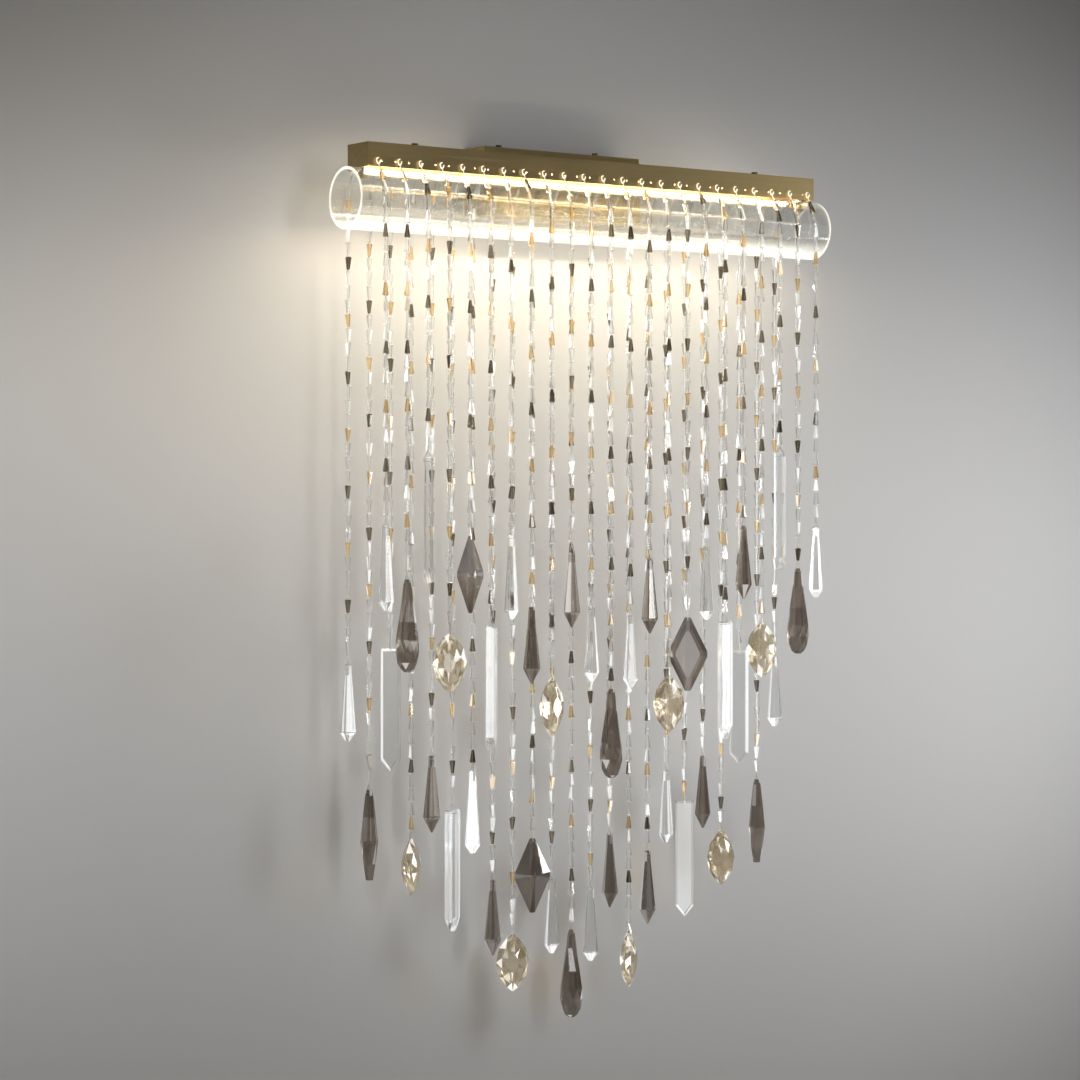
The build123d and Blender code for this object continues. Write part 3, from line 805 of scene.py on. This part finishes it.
stones = {
    # points and faces, finish, slot, half the thickness at the eye in mm
    "drop": (cutRound("drop"), "clearCrystal", "clear_crystal", 3.9),
    "longDrop": (cutRound("longDrop"), "clearCrystal", "clear_crystal", 3.9),
    "smokeDrop": (cutRound("smokeDrop"), "smokeCrystal", "smoke_crystal", 3.6),
    "teardrop": (cutRound("teardrop"), "smokeCrystal", "smoke_crystal", 4.2),
    "spindle": (cutRound("spindle"), "smokeCrystal", "smoke_crystal", 4.4),
    "oval": (ovalStone(), "champagneCrystal", "champagne_crystal", 2.2),
    "rhomb": (rhombStone(rhombLook["broadTable"]), "smokeCrystal", "smoke_crystal", 2.1),
    "peakedRhomb": (rhombStone(rhombLook["peakTable"]), "smokeCrystal", "smoke_crystal", 0.9),
    "bar": (barStone(), "clearCrystal", "clear_crystal", 5.0),
}

facetLook = {
    # share of the facets that get a painted glint along the body and at the foot, lowest and highest painted
    # glint, share of the broad tables that get a faint painted glint, and how strongly the facets are
    # darkened by painted shade
    "drop": (0.10, 0.6, 0.6, 1.0, 0.0, 0.5),
    "longDrop": (0.28, 0.6, 0.6, 1.0, 0.0, 0.5),
    "bar": (0.15, 0.3, 0.6, 1.0, 0.5, 0.5),
    "oval": (0.10, 0.05, 0.4, 1.0, 0.2, 0.85),
    "smokeDrop": (0.18, 0.12, 0.06, 0.5, 0.0, 0.85),
    "teardrop": (0.08, 0.06, 0.1, 0.7, 0.0, 0.7),
    "spindle": (0.15, 0.15, 0.1, 0.6, 0.0, 0.8),
    "rhomb": (0.2, 0.2, 0.05, 0.25, 1.0, 0.9),
    "peakedRhomb": (0.35, 0.35, 0.04, 0.2, 0.0, 0.95),
}
footFrom = 0.88  # the foot is what lies below this share of a stone's length
# painted glint on the broad tables, lowest and highest
paintedTableGlint = (0.15, 0.35)
paintedShadePower = 1.6  # above 1, so that most facets get little painted shade


def facetValues(kind, points, faceSets, rng):
    # painted glint: between lowest and highest on facets picked at random, a little on picked tables, else 0;
    # painted shade: a random share, raised to the painted shade power, of the kind's own strength of painted
    # shade
    body, foot, lowest, highest, table, depth = facetLook[kind]
    heights = np.concatenate([points[faces][..., 2].mean(1) for faces in faceSets])
    atFoot = heights / points[:, 2].min() > footFrom
    count = len(heights)
    picked = rng.uniform(0, 1, count) < np.where(atFoot, foot, body)
    paintedGlint = np.where(picked, rng.uniform(lowest, highest, count), 0.0)
    tables = rng.uniform(0, 1, 2) < table  # the last two faces are the tables
    paintedGlint[-2:] = np.where(tables, rng.uniform(*paintedTableGlint, 2), 0.0)
    return {"paintedGlint": paintedGlint, "paintedShade": depth * rng.uniform(0, 1, count) ** paintedShadePower}


bailLook = {
    "wireRadius": 0.0004,
    "top": -0.0006,  # just below the last bead
    "play": 0.0006,  # how far the legs stand off the stone
    "pinDown": 0.0036,  # depth of the pin below the stone's top
    "bowOut": 0.55,  # shares of the leg's reach, halfway down and at the pin
    "pinOut": 0.8,
}


def bailWire(halfThick):
    # two legs from the last bead down to the ends of a pin through the stone, the second mirrors the first
    look = bailLook
    reach = halfThick / 1000 + look["play"]
    pin = -strandLook["bail"] - look["pinDown"]
    left = [(0, 0, look["top"]), (0, -reach * look["bowOut"], pin * 0.5), (0, -reach, pin + look["play"]),
            (0, -reach * look["pinOut"], pin), (0, 0, pin)]
    path = left + [(x, -y, z) for x, y, z in reversed(left[:-1])]
    return tubeAlong(path, look["wireRadius"])


def strandJoints(x, hang, rng):
    # the places between neighbouring beads, from neck to bail: even steps along the path, and a little off it
    # where the strand hangs free
    look = strandLook
    run, arc = bendOf()[2:]
    bent = run + look["beadLine"] * arc
    length = bent + look["tubeCentre"][1] + hang / 1000 - look["pinHeight"] - look["bail"] - look["neck"]
    count = round(length / look["pitch"])
    pitch = length / count
    joint = look["neck"] + np.arange(count + 1) * pitch
    jointOut, jointUp = pathPoints(joint)
    sway = rng.uniform(-1, 1, (count + 1, 2)) * look["sway"]
    sway[0] = 0
    sway[-1] = 0
    swayOut = np.where(joint > bent + pitch, sway[:, 1], 0)
    return np.stack([x + sway[:, 0], -(jointOut + swayOut), jointUp], -1)


def ringPath(x):
    # circle in the plane of the row: its lower half is drawn out towards the neck
    look = strandLook
    out, up = bendOf()[:2]
    radius = look["ringRadius"]
    angle = evenAngles(look["ringPoints"])
    stretch = np.where(np.sin(angle) < 0, 1 + look["loopLonger"], 1.0)
    height = up + radius + look["wireRadius"] + radius * np.sin(angle) * stretch
    return np.stack([x + radius * np.cos(angle), np.full(len(angle), -out), height], -1)


def strandWires(x, places, halfThick, turn):
    # top ring, neck, the thread through the beads, a wrap at each joint, and the bail
    look = strandLook
    neckOut, neckUp = pathPoints([look["neckStart"], look["neck"] * 0.5, look["neck"]])
    neckPath = np.stack([np.full(len(neckOut), x), -neckOut, neckUp], -1)
    bailPoints, bailFaces = bailWire(halfThick)
    return joined([
        tubeAlong(ringPath(x), look["wireRadius"], closed=True),
        tubeAlong(neckPath, look["neckRadius"]),
        tubeAlong(places, look["threadRadius"], around=5),
        wrapCloud(places, unit(np.gradient(places, axis=0))),
        (turned(bailPoints, turn) + places[-1], bailFaces),
    ])


beadKinds = [
    # name, finish, slot, share of the facets that get a painted glint
    ("clearBeads", "clearBead", "clear_crystal", 0.07),
    ("smokeBeads", "smokeBead", "smoke_crystal", 0.02),
    ("goldBeads", "goldBead", "champagne_crystal", 0.04),
]


def hangStrand(row, number, spec):
    look = strandLook
    hang, kind, turn, widens, smokeAt = spec
    rowSide = 1 if row == "front" else -1
    rng = np.random.default_rng(1000 * (row == "rear") + number)
    x = (number - (look["hookCount"] + 1) / 2) * look["hookPitch"]

    def finished(points, faceSets, name, material, slotName, faceValues=None):
        # the rear row is the mirror of the front row, so its faces are turned round
        placed = points * [1, rowSide, 1] + [0, *look["tubeCentre"]]
        if rowSide < 0:
            faceSets = [faces[:, ::-1] for faces in faceSets]
        piece = addMesh(f"{name}_{row}_{number:02d}", placed, faceSets, material, faceValues)
        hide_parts(f"{row}_strand_{number:02d}")
        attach(piece, f"{row}_{number:02d}")

    places = strandJoints(x, hang, rng)
    count = len(places) - 1
    spin = rng.uniform(0, pi / 3, count)

    # of eight beads one is smoke coloured, the fourth after it is gold, and the others are clear
    index = np.arange(count) - smokeAt
    clear = index % 4 != 0
    smoke = index % 8 == 0
    gold = ~clear & ~smoke
    for mask, (name, finish, slotName, paintedGlintShare) in zip((clear, smoke, gold), beadKinds):
        points, faceSets = beadCloud(places[:-1][mask], places[1:][mask], widens, spin[mask])
        chance = rng.uniform(0, 1, (2, sum(len(faces) for faces in faceSets)))
        # painted glint on picked bead facets, given as emission
        paintedGlint = np.where(chance[0] < paintedGlintShare, beadLook["paintedGlint"], 0.0)
        # painted shade on every bead facet at random
        values = {"paintedGlint": paintedGlint, "paintedShade": chance[1] ** 2}
        finished(points, faceSets, name, glass[finish], slotName, values)

    # a flat stone is turned as in the table, a round one hangs at any turn
    (stonePoints, stoneFaces), finish, slotName, halfThick = stones[kind]
    finished(*strandWires(x, places, halfThick, turn), "wire", wireMetal, "bead_wire")
    facing = rng.uniform(0, 45) if kind in roundStones else turn
    hung = turned(stonePoints, facing) + places[-1] - [0, 0, look["bail"]]
    values = facetValues(kind, stonePoints, stoneFaces, rng)
    finished(hung, stoneFaces, kind, glass[finish], slotName, values)


for row, specs in (("front", frontRow), ("rear", rearRow)):
    for number, spec in enumerate(specs, start=1):
        hangStrand(row, number, spec)
print("strands hung:", len(frontRow) + len(rearRow))


stageLook = {
    "wallColour": (0.465, 0.465, 0.465),
    "wallFace": 0.0006,  # just behind the plane y = 0
    "wallSide": 5.0,
    "wallTop": 2.2,
    "floorColour": (0.80, 0.79, 0.77),
    "floorHeight": -1.35,
    "floorSide": 8.0,
    "floorDepth": 9.0,
    "cloudScale": 1.5,
    "darkest": 0.95,
    "roughness": 0.75,
    "worldColour": (0.72, 0.66, 0.60),
    "worldStrength": 0.06,
    "backdropStrength": 0.50,  # the same room as it is seen, past the wall and through glass
}


def stageFinish(name, colour):
    # slow clouds that darken the paint by 5 percent at most
    look = stageLook
    f = Finish(name, Roughness=look["roughness"])
    tone = f.noise(look["cloudScale"], detail=2.0)
    return f.set(Base_Color=f.mix(tone, colour, tuple(c * look["darkest"] for c in colour)))


def stagePlane(name, corners, finish):
    plane = addMesh(name, np.array(corners, dtype=float), [np.array([[0, 1, 2, 3]])], finish.material)
    return plane


low = stageLook["floorHeight"]
side, depth = stageLook["floorSide"], stageLook["floorDepth"]
floorCorners = [(-side, -depth, low), (side, -depth, low), (side, depth, low), (-side, depth, low)]
stagePlane("floor", floorCorners, stageFinish("paleFloor", stageLook["floorColour"]))

# the wall shows only its front, so the sconce can be looked at from behind
side, face, top = stageLook["wallSide"], stageLook["wallFace"], stageLook["wallTop"]
wallFinish = stageFinish("paleWall", stageLook["wallColour"])
fromBehind = wallFinish.node("ShaderNodeNewGeometry", out="Backfacing")
wallFinish.overlay(fromBehind, wallFinish.node("ShaderNodeBsdfTransparent"))
wallCorners = [(-side, face, low), (side, face, low), (side, face, top), (-side, face, top)]
wall = stagePlane("wall", wallCorners, wallFinish)
wall.visible_shadow = False

# the room is dim as a light, and pale where the camera or a ray through glass sees it
bpy.context.scene.view_settings.view_transform = "Standard"
world = bpy.data.worlds.new("softRoom")
bpy.context.scene.world = world
world.use_nodes = True
room = world.node_tree
background = room.nodes["Background"]
background.inputs[0].default_value = (*stageLook["worldColour"], 1.0)
rays = room.nodes.new("ShaderNodeLightPath")
seen = room.nodes.new("ShaderNodeMath")
seen.operation = "MAXIMUM"
strength = room.nodes.new("ShaderNodeMapRange")
strength.inputs["To Min"].default_value = stageLook["worldStrength"]
strength.inputs["To Max"].default_value = stageLook["backdropStrength"]
room.links.new(rays.outputs["Is Camera Ray"], seen.inputs[0])
room.links.new(rays.outputs["Is Transmission Ray"], seen.inputs[1])
room.links.new(seen.outputs[0], strength.inputs["Value"])
room.links.new(strength.outputs[0], background.inputs[1])

lamps = [
    # name, place, aimed at, width, height, watts, colour, spread in degrees
    ("rightBox", (1.35, -0.95, -0.40), (0.47, 0.0, -0.47), 0.30, 0.7, 3.2, (0.99, 0.99, 1.0), 71),
    ("frontBox", (0.10, -2.6, 0.25), (-0.09, 0.0, -0.25), 0.4, 1.2, 0.72, (1.0, 0.99, 0.98), 29),
    ("leftBox", (-1.5, -0.75, -0.25), (-0.75, 0.0, -0.49), 0.22, 0.8, 0.9, (0.95, 0.97, 1.0), 45),
    ("lowBox", (-0.3, -1.3, -1.25), (0.0, -0.1, -0.6), 1.2, 0.5, 0.3, (0.95, 0.97, 1.0), 100),
    ("warmWash", (-0.42, -0.36, -0.19), (-0.46, 0.0, -0.22), 0.7, 0.1, 0.60, (1.0, 0.88, 0.70), 144),
    ("backFill", (0.6, 2.6, 0.6), (0.0, 0.0, -0.45), 1.6, 1.6, 34.0, (1.0, 0.98, 0.95), 180),
    ("frontFloor", (0.0, -4.2, 1.9), (0.0, -4.2, -1.35), 3.5, 3.5, 24.0, (1.0, 0.98, 0.96), 150),
    ("leftFloor", (-4.2, -0.6, 1.9), (-4.2, -0.6, -1.35), 2.5, 3.5, 16.0, (1.0, 0.98, 0.96), 130),
    ("rightFloor", (4.4, -0.6, 1.9), (4.4, -0.6, -1.35), 2.5, 3.5, 16.0, (1.0, 0.98, 0.96), 130),
    ("backFloor", (0.0, 4.0, 1.9), (0.0, 4.0, -1.35), 3.5, 3.5, 24.0, (1.0, 0.98, 0.96), 150),
    ("stripGlow", (0.0, -0.092, 0.0135), (0.0, -0.092, -1.0), 0.57, 0.012, 1.65, (1.0, 0.85, 0.65), 180),
    ("tubeGlow", (0.0, -0.088, -0.030), (0.0, 0.0, -0.060), 0.57, 0.02, 0.36, (1.0, 0.85, 0.65), 180),
]
feltOnly = ("tubeGlow", "warmWash")  # these two light the wall, and aren't seen as lamps in the glass
for name, place, target, width, height, watts, colour, spread in lamps:
    data = bpy.data.lights.new(name, "AREA")
    data.shape = "RECTANGLE"
    data.size = width
    data.size_y = height
    data.energy = watts
    data.color = colour
    data.spread = radians(spread)
    lamp = bpy.data.objects.new(name, data)
    lamp.location = place
    lamp.rotation_mode = "QUATERNION"
    lamp.rotation_quaternion = (Vector(target) - Vector(place)).to_track_quat("-Z", "Y")
    lamp.visible_camera = False
    lamp.visible_transmission = name not in feltOnly
    lamp.visible_glossy = name not in feltOnly
    bpy.context.scene.collection.objects.link(lamp)

cameraLook = {
    "place": (-2.10356, -2.94533, -0.39194),
    "azimuth": 35.5,  # degrees to the right of straight at the wall
    "sensor": 36.0,
    "lens": 108.44,
    "shiftY": 0.00237,
    "nearest": 0.05,
}
cameraData = bpy.data.cameras.new("photoCamera")
cameraData.sensor_width = cameraLook["sensor"]
cameraData.lens = cameraLook["lens"]
cameraData.shift_y = cameraLook["shiftY"]
cameraData.clip_start = cameraLook["nearest"]
camera = bpy.data.objects.new("photoCamera", cameraData)
camera.location = cameraLook["place"]
camera.rotation_euler = (pi / 2, 0.0, -radians(cameraLook["azimuth"]))
bpy.context.scene.collection.objects.link(camera)
bpy.context.scene.camera = camera
print("stage set")
